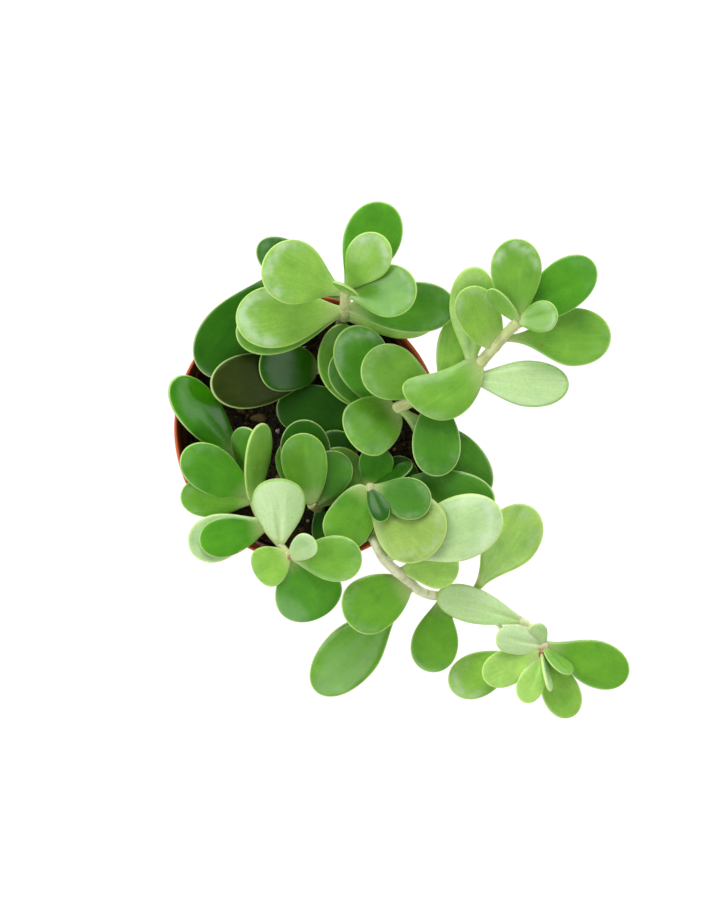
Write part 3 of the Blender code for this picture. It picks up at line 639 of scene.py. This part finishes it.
def leaf_skin(shape, s, turn, wave, phase):
    """Points of the leaf's skin: s runs from stalk to tip, turn goes round the leaf.

    The half width swells from the stalk along a sine, is widest at WIDEST_AT, and closes in a blunt tip. The
    section is a superellipse. The sides rise with the square of the distance from the midrib, a slow wave
    runs along them, the upper side has a shallow groove over the midrib, and the lower side has a crease
    that fades away from the stalk.
    """
    length, width = shape["length"] - SKIN_INSET, shape["width"] - SKIN_INSET
    swell = np.sin(np.pi / 2 * np.minimum(s / WIDEST_AT, 1.0)) ** shape["neck"]
    stalk = min(PETIOLE_WIDTH / width, PETIOLE_SHARE)
    tip = tip_width(s)
    root = np.sqrt(np.minimum(s / ROUND_ROOT, 1.0))
    half_width = width / 2 * (stalk + (1 - stalk) * swell) * tip * root
    thickness = max(LEAF_THICKNESS_LEAST, LEAF_THICKNESS_SHARE * length)
    thinner = STALK_THICKNESS_SHARE + (1 - STALK_THICKNESS_SHARE) * swell
    half_thickness = thickness / 2 * thinner * tip ** EDGE_POWER * root
    cos, sin = np.cos(turn), np.sin(turn)
    side = half_width * np.sign(cos) * np.abs(cos) ** SECTION_WIDTH_POWER
    out = half_thickness * np.sign(sin) * np.abs(sin) ** SECTION_HEIGHT_POWER
    share = 2 * side / width
    ripple = np.sin(2 * np.pi * SIDE_WAVES_PER_LENGTH * s + phase + np.sign(side))
    lift = (shape["cup"] * width / 2 + wave * width * ripple * swell) * share ** 2
    groove = GROOVE_DEPTH * np.exp(-(side / GROOVE_WIDTH) ** 2) * np.sin(np.pi * s) * (sin > 0)
    crease = CREASE_DEPTH * np.exp(-(side / CREASE_WIDTH) ** 2) * np.sin(np.pi * s) * (1 - s) * (sin < 0)
    bow = length * 4 * s * (1 - s)
    return np.stack([side + shape["sweep"] * bow, length * s,
                     out + lift - groove + crease + shape["arch"] * bow], -1)


def put_leaf(shell, shape, base, look, rng):
    """Add one leaf to a shell: a closed grid of rings from its stalk to its tip, with its marks.

    The rings crowd towards stalk and tip by a cosine. core falls from the middle of a face to its outline,
    level is the skin's height over the leaf's middle plane as a share of the thickness, and the pale margin,
    partly painted glow of light through the thin edge, is the band of the skin near MARGIN_LEVEL. Wax lies
    thin on the whole leaf, and a painted sheen lies in a crescent inside the tip. The scar's mark falls from
    its centre to its radius.
    """
    s = (1 - np.cos(np.pi * np.arange(1, look.rings + 1) / (look.rings + 1))) / 2
    s, turn = np.meshgrid(s, 2 * np.pi * np.arange(look.sides) / look.sides, indexing="ij")
    wave, phase, seed = rng.uniform([-SIDE_WAVE, 0, 0], [SIDE_WAVE, 2 * np.pi, 1])
    grid = leaf_skin(shape, s, turn, wave, phase)
    ends = leaf_skin(shape, np.array([0.0, 1.0]), np.zeros(2), 0.0, 0.0)
    local = np.vstack([grid.reshape(-1, 3), ends])
    core = np.abs(np.sin(turn)) * tip_width(s)
    level = np.sign(np.sin(turn)) * np.abs(np.sin(turn)) ** SECTION_HEIGHT_POWER * tip_width(s) ** EDGE_POWER
    margin = 1 - smooth_rise(np.abs(level - MARGIN_LEVEL), *MARGIN_REACH)
    sheen_crescent = smooth_rise(core, *CRESCENT_OUTSIDE) * (1 - smooth_rise(core, *CRESCENT_INSIDE))
    sheen_crescent *= smooth_rise(s, *CRESCENT_START)
    wax_and_sheen = shape["bloom_and_sheen"] * (WAX_THIN + (1 - WAX_THIN) * sheen_crescent)
    pale = UNDERSIDE_SEEN if shape["roll"] == 180 else UNDERSIDE_HIDDEN
    middle = smooth_rise(core, *UNDERSIDE_FADE)
    under = pale * (level < 0) * (UNDERSIDE_AT_EDGE + (1 - UNDERSIDE_AT_EDGE) * middle)
    count = len(local)
    marks = np.stack([np.append(margin, [0, 1]), np.append(core, [0, 0]), np.append(s, [0, 1]),
                      np.full(count, seed)], -1)
    # Leaves below others take a skin with less sheen, and less mirrored light is taken off their green:
    # painted shade
    grows = GROWS_BELOW.get(shape["shade"], "open")
    mirrored = look.mirrored * SHEEN[grows] / SHEEN["open"]
    green = np.maximum(np.array(linear(SHADES[shape["shade"]])) - mirrored, DARKEST)
    shade = np.column_stack([np.tile(green, (count, 1)), np.append(wax_and_sheen, [0, 0])])
    scar = np.zeros((count, 4))
    if shape["scar"]:
        at, beside, radius, kind = shape["scar"]
        far = np.hypot(local[:, 0] - beside * shape["width"] / 2, local[:, 1] - at * shape["length"])
        scar = np.column_stack([np.tile(linear(SCARS[kind]), (count, 1)), np.clip(1 - far / radius, 0, 1)])
    fan = np.stack([grid[..., 0] / (FAN_ORIGIN + s), grid[..., 1] * FAN_STRETCH,
                    np.full(s.shape, FAN_SHIFT * seed)], -1).reshape(-1, 3)
    shell.put(base + local @ leaf_axes(shape), look.rings, grows, leaf_marks=marks, leaf_shade=shade,
              leaf_scar=scar, leaf_under=np.append(under, [0, 0]),
              leaf_fibre=np.vstack([fan, fan[:1], fan[-1:]]))


def put_branch(shell, points, root, tip, leaves, skin, rng):
    """Add one branch to a shell: rings along its curve, swollen at each leaf and waisted between them.

    The radius falls evenly from root to tip, each leaf's place adds a narrow bell curve to it, and so do
    evenly spaced leaf scars. The rings' spokes are carried along the curve without twist. skin holds the
    colour and how red the young end is.
    """
    count = (len(points) - 1) * STEM_RINGS_PER_POINT
    at = np.linspace(0, len(points) - 1, count)
    places = branch_at(points, at)
    run = np.gradient(places, axis=0)
    run /= np.linalg.norm(run, axis=1, keepdims=True)
    start = np.cross(run[0], SPOKE_START)
    across = [start / np.linalg.norm(start)]
    for direction in run[1:]:
        moved = across[-1] - direction * np.dot(across[-1], direction)
        across.append(moved / np.linalg.norm(moved))
    across = np.array(across)
    up = np.cross(run, across)
    nodes = np.array([shape["at"] for shape in leaves])
    swell = np.minimum(np.exp(-((at[:, None] - nodes) / NODE_REACH) ** 2).sum(1), 1.0)
    since = np.modf(at * SCAR_RINGS_PER_POINT + SCAR_RING_START)[0]
    ring = np.exp(-((since - 0.5) / SCAR_RING_REACH) ** 2)
    radius = root + (tip - root) * at / at[-1] - STEM_INSET + NODE_SWELLING * swell + SCAR_RING * ring
    angle = 2 * np.pi * np.arange(STEM_SIDES) / STEM_SIDES
    uneven = 1 + STEM_UNEVENNESS * np.sin(STEM_FLUTES * angle[None, :] + at[:, None] * STEM_TWIST)
    spokes = np.cos(angle)[None, :, None] * across[:, None] + np.sin(angle)[None, :, None] * up[:, None]
    grid = places[:, None] + (radius[:, None] * uneven)[..., None] * spokes
    body = np.vstack([grid.reshape(-1, 3), places[:1], places[-1:]])
    marks = np.stack([np.append(np.repeat(ring, STEM_SIDES), [0, 0]), np.zeros(len(body)),
                      np.append(np.repeat(at / at[-1], STEM_SIDES), [0, 1]),
                      np.full(len(body), rng.uniform())], -1)
    length = np.concatenate([[0], np.cumsum(np.linalg.norm(np.diff(places, axis=0), axis=1))])
    round_stem = np.tile(np.stack([np.cos(angle), np.sin(angle)], -1) * STEM_LINES_ROUND, (count, 1))
    lines = np.column_stack([round_stem, np.repeat(length * STEM_LINES_ALONG, STEM_SIDES)])
    plain = np.zeros((len(body), 4))
    shell.put(body, count, leaf_marks=marks, leaf_shade=np.tile(skin, (len(body), 1)), leaf_scar=plain,
              leaf_under=plain[:, 0], leaf_fibre=np.vstack([lines, lines[:1], lines[-1:]]))


def turned(profile, sides):
    """Points of a profile turned about Z, ring by ring, and its two ends on the axis.

    The profile is (radius, height) from the top's centre round the outside to the bottom's centre.
    """
    profile = np.asarray(profile, float)
    angle = -2 * np.pi * np.arange(sides) / sides
    radius, height = profile[1:-1, 0], profile[1:-1, 1]
    rings = np.stack([radius[:, None] * np.cos(angle), radius[:, None] * np.sin(angle),
                      np.repeat(height[:, None], sides, 1)], -1)
    ends = [[0, 0, profile[0, 1]], [0, 0, profile[-1, 1]]]
    return np.vstack([rings.reshape(-1, 3), ends])


def inner_wall(height):
    """Inner radius of the pot below its collar, at a height above the inner floor."""
    top = RIM_RADIUS - COLLAR_DRAFT - COLLAR_STEP - WALL
    share = (height - BASE_THICKNESS) / (RIM_HEIGHT - COLLAR_DEPTH - BASE_THICKNESS)
    return BASE_RADIUS - WALL + (top - BASE_RADIUS + WALL) * share


def pot_profile():
    """The pot's section as (radius, height), first its inner floor and wall, then the rim and the outside."""
    foot = RIM_HEIGHT - COLLAR_DEPTH
    collar = RIM_RADIUS - COLLAR_DRAFT
    inside = [
        (0.0, BASE_THICKNESS),
        (inner_wall(BASE_THICKNESS), BASE_THICKNESS),
        (inner_wall(foot - COLLAR_SLOPE), foot - COLLAR_SLOPE),
        (collar - WALL, foot + COLLAR_SLOPE),
        (RIM_RADIUS - WALL, RIM_HEIGHT - EDGE),
    ]
    outside = [
        (RIM_RADIUS - WALL + EDGE, RIM_HEIGHT),
        (RIM_RADIUS - EDGE, RIM_HEIGHT),
        (RIM_RADIUS, RIM_HEIGHT - EDGE),
        (collar, foot + EDGE),
        (collar - EDGE, foot),
        (collar - COLLAR_STEP, foot - COLLAR_SLOPE),
        (BASE_RADIUS, 2 * EDGE),
        (BASE_RADIUS - 2 * EDGE, 0.0),
        (0.0, 0.0),
    ]
    return np.array(inside), np.array(outside)


def drain_holes():
    """One mesh of closed cylinders on a circle, which cut the drain holes out of the pot's base."""
    shell = Shell()
    height = 2 * BASE_THICKNESS
    profile = [(0, height), (DRAIN_HOLE_RADIUS, height), (DRAIN_HOLE_RADIUS, -height), (0, -height)]
    for index in range(DRAIN_HOLES):
        angle = 2 * np.pi * (index + 0.5) / DRAIN_HOLES
        place = DRAIN_HOLE_CIRCLE * np.array([np.cos(angle), np.sin(angle), 0.0])
        shell.put(turned(profile, DRAIN_HOLE_SIDES) + place, 2)
    return shell.mesh("drain_holes")


def drill_base(pot):
    """Cut the drain holes out of the pot's base, and keep only the cut mesh."""
    cutter = put_object("drain_holes", drain_holes())
    modifier = pot.modifiers.new("drain_holes", "BOOLEAN")
    modifier.operation = "DIFFERENCE"
    modifier.object = cutter
    modifier.solver = "EXACT"
    mesh = bpy.data.meshes.new_from_object(pot.evaluated_get(bpy.context.evaluated_depsgraph_get()))
    pot.modifiers.clear()
    pot.data = mesh
    bpy.data.objects.remove(cutter, do_unlink=True)
    mesh.shade_smooth()
    mesh.set_sharp_from_angle(angle=np.radians(SHARP_ANGLE))


def soil_relief(x, y):
    """Height of the soil's uneven top above SOIL_HEIGHT: the sum of the solids' slow waves."""
    return sum(height * np.sin(along_x * x + along_y * y + start)
               for height, along_x, along_y, start in SOIL_WAVES)


def lumps(x, y, size, rng):
    """Uneven relief of about unit height: a sum of sine waves of random direction, about `size` mm long."""
    relief = np.zeros_like(x)
    for _ in range(LUMP_WAVES):
        angle, start = rng.uniform(0, 2 * np.pi, 2)
        length = size * rng.uniform(*LUMP_LENGTHS)
        relief += np.sin(2 * np.pi / length * (x * np.cos(angle) + y * np.sin(angle)) + start)
    return relief / np.sqrt(LUMP_WAVES)


def soil_body(look, rng):
    """The soil as rings turned about Z: a fine uneven top, a sloping side and a flat floor.

    The top's height is the slow waves of the solids plus short random waves, which fade at the side.
    """
    floor, shoulder = BASE_THICKNESS + SOIL_GAP, SOIL_HEIGHT - SOIL_EDGE
    outer = inner_wall(shoulder) - SOIL_GAP
    profile = [(outer * ring / SOIL_RINGS, SOIL_HEIGHT) for ring in range(SOIL_RINGS + 1)]
    profile += [(outer, shoulder), (inner_wall(floor) - SOIL_GAP, floor), (0.0, floor)]
    points = turned(profile, SOIL_SIDES)
    on_top = points[:, 2] == SOIL_HEIGHT
    x, y = points[on_top, 0], points[on_top, 1]
    fade = np.clip((outer - np.hypot(x, y)) / SOIL_EDGE, 0, 1)
    relief = look.relief / MM * sum(share * lumps(x, y, size, rng) for size, share in SOIL_LUMPS)
    points[on_top, 2] += soil_relief(x, y) + np.clip(relief, *SOIL_LUMP_LIMITS) * fade
    shell = Shell()
    shell.put(points, len(profile) - 2, grain_colour=opaque(CRUMB_BROWNS[0], len(points)))
    return shell


def opaque(hex_colour, count):
    """Rows of one colour with full alpha."""
    return np.tile((*linear(hex_colour), 1.0), (count, 1))


def dented_ball(rings, sides, rng):
    """A ball of unit radius with two sine waves in its radius, flattened and turned at random."""
    theta = np.pi * np.arange(rings + 2) / (rings + 1)
    ball = turned(np.stack([np.sin(theta), np.cos(theta)], -1), sides)
    start, second, turn = rng.uniform(0, 2 * np.pi, 3)
    dent = (CRUMB_DENTS[0] * np.sin(3 * ball[:, 0] + start)
            + CRUMB_DENTS[1] * np.sin(4 * ball[:, 1] + 2 * ball[:, 2] + second))
    stretch = rng.uniform(*CRUMB_STRETCH)
    spin = np.array([[np.cos(turn), np.sin(turn), 0], [-np.sin(turn), np.cos(turn), 0], [0, 0, 1]])
    return ball * (1 + dent[:, None]) * stretch @ spin


def crumb_kind(number, rng):
    """Size share and colour of one loose crumb: now and then bark or perlite, and otherwise peat."""
    for every, kind in RARE_CRUMBS.items():
        if number % every == 0:
            return kind
    return 1.0, CRUMB_BROWNS[rng.integers(len(CRUMB_BROWNS))]


def soil_crumbs(look, rng):
    """Loose crumbs, grit and bark: small dented balls strewn evenly over the soil, half sunk in it."""
    shell = Shell()
    reach = inner_wall(SOIL_HEIGHT - SOIL_EDGE) - SOIL_GAP - CRUMB_LARGEST / 2
    stones = [(*stone, STONE_FINENESS) for stone in STONES]
    for number in range(look.crumbs):
        far, angle = reach * np.sqrt(rng.uniform()), rng.uniform(0, 2 * np.pi)
        share, colour = crumb_kind(number, rng)
        size = min(look.crumb_size / MM * rng.lognormal(0, CRUMB_SPREAD) * share, CRUMB_LARGEST)
        stones.append((far * np.cos(angle), far * np.sin(angle), size, colour, 1))
    for x, y, size, colour, finer in stones:
        ball = size * dented_ball(CRUMB_RINGS * finer, CRUMB_SIDES * finer, rng)
        ball += [x, y, SOIL_HEIGHT + soil_relief(x, y) + CRUMB_LIFT * size]
        shell.put(ball, CRUMB_RINGS * finer, grain_colour=opaque(colour, len(ball)))
    return shell


def colour_setting(name, description, hex_colour):
    """A colour that the user can change."""
    return FloatVectorProperty(name=name, description=description, subtype="COLOR", size=3,
                               default=linear(hex_colour), min=0, max=1)


def share_setting(name, description, default, most=1):
    """A share that the user can change."""
    return FloatProperty(name=name, description=description, subtype="FACTOR", default=default,
                         min=0, max=most)


class JadeLeafSettings(bpy.types.PropertyGroup):
    """Colours and fineness of the leafy stems."""

    margin_colour: colour_setting("Margin", "Colour of the thin pale line round each leaf", "#c8e290")
    margin_strength: share_setting("Margin strength", "How strongly the margin shows", 0.70)
    under_colour: colour_setting("Underside", "Colour of the middle of a leaf's underside", "#d2efb0")
    stalk_colour: colour_setting("Stalk", "Colour to which the leaf fades at its stalk", "#c3d28c")
    stalk_fade: share_setting("Stalk fade", "How far the stalk takes that colour", 0.65)
    # The bloom colour and strength serve the powdery wax and the painted sheen inside each leaf's tip
    bloom_and_sheen_colour: colour_setting("Bloom", "Colour of the powdery wax on the leaves", "#cfe5c4")
    bloom_and_sheen_strength: share_setting("Bloom strength", "How strongly the powdery wax shows", 0.6)
    mirrored: share_setting(
        "Mirrored light", "Share of white light that the skin mirrors, taken off each green", 0.02, 0.2)
    stem_colour: colour_setting("Stem", "Colour of the stems", "#ccd68e")
    hanging_stem_colour: colour_setting(
        "Hanging stem", "Colour of the stem that hangs over the rim", "#f0f2cc")
    flesh_glow: share_setting("Flesh glow", "Share of light that passes through the leaf's flesh", 0.25)
    rings: IntProperty(
        name="Rings", description="Rings of faces from a leaf's stalk to its tip", default=48, min=8, max=120)
    sides: IntProperty(
        name="Sides", description="Faces round a leaf", default=44, min=8, max=120)


class JadeSoilSettings(bpy.types.PropertyGroup):
    """Grain of the potting soil."""

    crumbs: IntProperty(
        name="Crumbs", description="Number of loose crumbs on the soil", default=1500, min=0, max=4000)
    crumb_size: FloatProperty(
        name="Crumb size", description="Usual radius of a crumb", subtype="DISTANCE", unit="LENGTH",
        default=0.8 * MM, min=0.2 * MM, max=3 * MM)
    relief: FloatProperty(
        name="Relief", description="Height of the soil's fine relief", subtype="DISTANCE", unit="LENGTH",
        default=0.45 * MM, min=0, max=2 * MM)


class JadePotSettings(bpy.types.PropertyGroup):
    """Colour and fineness of the nursery pot."""

    pot_colour: colour_setting("Plastic", "Colour of the pot", "#d2602f")
    steps: IntProperty(
        name="Steps", description="Faces round the pot", default=192, min=24, max=360)


class JadeStageSettings(bpy.types.PropertyGroup):
    """Floor, light and world of the studio."""

    floor_colour: colour_setting("Floor", "Colour of the floor", "#707070")
    floor_glow: FloatProperty(
        name="Floor glow", description="Light that the floor gives off, as a table lit from below",
        default=0.92, min=0)
    world_light: FloatProperty(
        name="World light", description="Strength of the even light from all round", default=0.18, min=0)
    light_power: FloatProperty(
        name="Light power", description="Power of the four soft lights together", subtype="POWER",
        unit="POWER", default=42.0, min=0)
    light_size: FloatProperty(
        name="Light size", description="Side of each soft light", subtype="DISTANCE", unit="LENGTH",
        default=1.0, min=0.05)


class MESH_OT_jade_stems(bpy.types.Operator):
    """Make the seven leafy stems, each with its stem and all its leaves."""

    bl_idname = "mesh.jade_stems"
    bl_label = "Leafy stems"

    def execute(self, context):
        look = context.scene.jade_leaves
        # Copies of the leaf skin for each place, whose lower sheen in the shade is painted shade
        materials = {grows: succulent_leaf(look, grows, sheen) for grows, sheen in SHEEN.items()}
        materials["main"] = succulent_stem()
        rng = np.random.default_rng(LEAF_SEED)
        for name, branches in STEMS.items():
            shell = Shell()
            colour = look.hanging_stem_colour if name == "leafy_stem_trailing" else look.stem_colour
            skin = [*colour, RED_ENDS.get(name, FAINT_RED_END)]
            for points, root, tip, leaves in branches:
                put_branch(shell, points, root, tip, leaves, skin, rng)
                for shape in leaves:
                    put_leaf(shell, shape, branch_at(points, shape["at"])[0], look, rng)
            shell.piece(name + "_fine", materials, "leafy_stem", replaced=name)
        return {"FINISHED"}


class MESH_OT_jade_soil(bpy.types.Operator):
    """Make the potting soil: one crumbly body, and loose crumbs, grit and bark on top of it."""

    bl_idname = "mesh.jade_soil"
    bl_label = "Potting soil"

    def execute(self, context):
        look = context.scene.jade_soil
        materials = {"main": potting_soil()}
        rng = np.random.default_rng(SOIL_SEED)
        soil_body(look, rng).piece("soil_fine", materials, "soil", replaced="soil")
        soil_crumbs(look, rng).piece("soil_crumbs", materials, "soil")
        return {"FINISHED"}


class MESH_OT_jade_pot(bpy.types.Operator):
    """Make the nursery pot: a thin turned wall with a collar, a bevelled lip and drilled drain holes."""

    bl_idname = "mesh.jade_pot"
    bl_label = "Nursery pot"

    def execute(self, context):
        look = context.scene.jade_pot
        inside, outside = pot_profile()
        # The inner wall's film of soil and painted shade, thickest at the soil, and the dust on the outside
        film = np.concatenate([np.interp(inside[:, 1], [SOIL_HEIGHT, RIM_HEIGHT], FILM_AND_SHADE), 0 * outside[:, 1]])
        dust = np.concatenate([0 * inside[:, 1], np.interp(outside[:, 1], [0, RIM_HEIGHT], FOOT_DUST)])
        film, dust = (np.append(np.repeat(mark[1:-1], look.steps), mark[[0, -1]]) for mark in (film, dust))
        shell = Shell()
        shell.put(turned(np.vstack([inside, outside]), look.steps), len(inside) + len(outside) - 2,
                  soil_film=film, foot_dust=dust)
        drill_base(shell.piece("pot_fine", {"main": nursery_plastic(look)}, "pot", replaced="pot"))
        return {"FINISHED"}


class MESH_OT_jade_stage(bpy.types.Operator):
    """Set up the plain floor, the soft studio light and the camera at the photo's view."""

    bl_idname = "mesh.jade_stage"
    bl_label = "Studio stage"

    def execute(self, context):
        look = context.scene.jade_stage
        scene = context.scene
        # A light table: matt opal acrylic that glows evenly, so that the plant leaves no dark shadow
        table = Finish("opal_acrylic_light_table", Base_Color=look.floor_colour, Roughness=0.9,
                       Specular_IOR_Level=0.2, Emission_Color=WHITE,
                       Emission_Strength=look.floor_glow)
        mesh = bpy.data.meshes.new("floor")
        corners = [(-1, -1), (1, -1), (1, 1), (-1, 1)]
        mesh.from_pydata([(x * FLOOR_HALF, y * FLOOR_HALF, -FLOOR_DROP) for x, y in corners], [],
                         [(0, 1, 2, 3)])
        mesh.materials.append(table.material)
        floor = put_object("floor", mesh)

        world = bpy.data.worlds.new("studio")
        world.use_nodes = True
        sky = world.node_tree.nodes["Background"]
        sky.inputs["Color"].default_value = (*WHITE, 1.0)
        sky.inputs["Strength"].default_value = look.world_light
        scene.world = world
        for name, (share, place) in LIGHTS.items():
            data = bpy.data.lights.new(name, "AREA")
            data.energy = share * look.light_power
            data.size = look.light_size
            light = put_object(name, data)
            light.location = place
            towards = Vector(LIGHT_AIM) - light.location
            light.rotation_euler = towards.to_track_quat("-Z", "Y").to_euler()

        camera_data = bpy.data.cameras.new("camera")
        camera_data.sensor_width = SENSOR
        camera_data.lens = SENSOR * CAMERA_ABOVE_RIM / (PIXEL_AT_RIM * max(PHOTO_WIDTH, PHOTO_HEIGHT))
        camera = put_object("camera", camera_data)
        camera.location = (CAMERA_X * MM, CAMERA_Y * MM, (RIM_HEIGHT + CAMERA_ABOVE_RIM) * MM)
        scene.camera = camera
        scene.view_settings.view_transform = "Standard"
        return {"FINISHED"}


class VIEW3D_PT_trailing_jade(bpy.types.Panel):
    """Sidebar panel with the settings and the pieces."""

    bl_label = "Trailing Jade"
    bl_idname = "VIEW3D_PT_trailing_jade"
    bl_space_type = "VIEW_3D"
    bl_region_type = "UI"
    bl_category = "Trailing Jade"

    def draw(self, context):
        for settings, (_, operator) in STEPS.items():
            box = self.layout.box()
            group = getattr(context.scene, settings)
            for name in group.bl_rna.properties.keys():
                if name not in ("rna_type", "name"):
                    box.prop(group, name)
            box.operator(operator.bl_idname)


# Each step's settings on the scene: their name, their class and the operator that reads them
STEPS = {
    "jade_leaves": (JadeLeafSettings, MESH_OT_jade_stems),
    "jade_soil": (JadeSoilSettings, MESH_OT_jade_soil),
    "jade_pot": (JadePotSettings, MESH_OT_jade_pot),
    "jade_stage": (JadeStageSettings, MESH_OT_jade_stage),
}
CLASSES = [cls for pair in STEPS.values() for cls in pair] + [VIEW3D_PT_trailing_jade]


def register():
    """Add the classes, and the settings to the scene."""
    for cls in CLASSES:
        bpy.utils.register_class(cls)
    for name, (group, _) in STEPS.items():
        setattr(bpy.types.Scene, name, PointerProperty(type=group))


def unregister():
    """Take the settings and the classes away again."""
    for name in STEPS:
        delattr(bpy.types.Scene, name)
    for cls in reversed(CLASSES):
        bpy.utils.unregister_class(cls)


def main():
    """Make every piece and the stage."""
    register()
    bpy.ops.mesh.jade_stems()
    bpy.ops.mesh.jade_soil()
    bpy.ops.mesh.jade_pot()
    bpy.ops.mesh.jade_stage()


if __name__ == "__main__":
    main()
